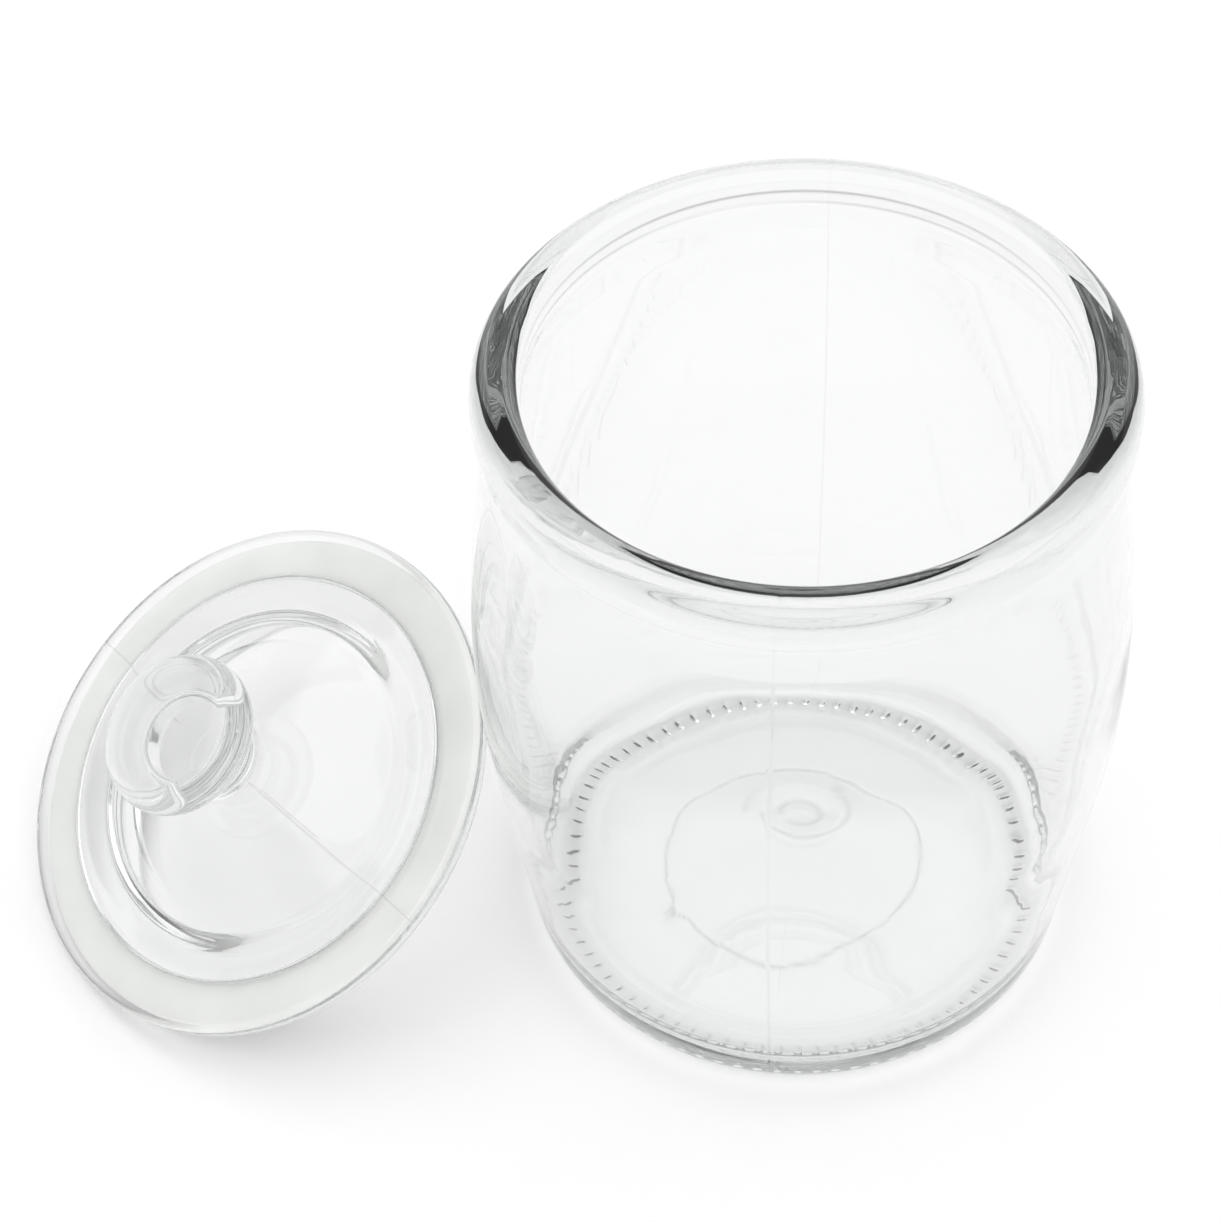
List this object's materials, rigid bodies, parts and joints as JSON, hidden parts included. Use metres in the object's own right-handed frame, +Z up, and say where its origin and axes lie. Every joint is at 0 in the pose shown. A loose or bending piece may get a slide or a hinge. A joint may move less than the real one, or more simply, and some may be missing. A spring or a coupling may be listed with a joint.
{
  "type": "fermentation jar",
  "caption": "Clear glass barrel-shaped fermentation jar with a rolled rim, open and empty, its domed glass lid with ball knob and milky seal ring leaning beside it.",
  "frame": {"origin": "middle of the foot of the whole set, jar and leaning lid together, on the surface that it stands on", "axes": "+Z up along the jar's axis, +X from the lid towards the jar, +Y towards the back"},
  "size_m": [0.2182, 0.1224, 0.1405],
  "materials": {
    "clear_glass": "clear pressed soda glass, fire polished, with faint mould seams",
    "milky_seal": "milky translucent silicone, satin"
  },
  "bodies": {
    "root": {"jar": "clear_glass", "lid": "clear_glass", "lid_seal": "milky_seal"}
  },
  "joints": []
}
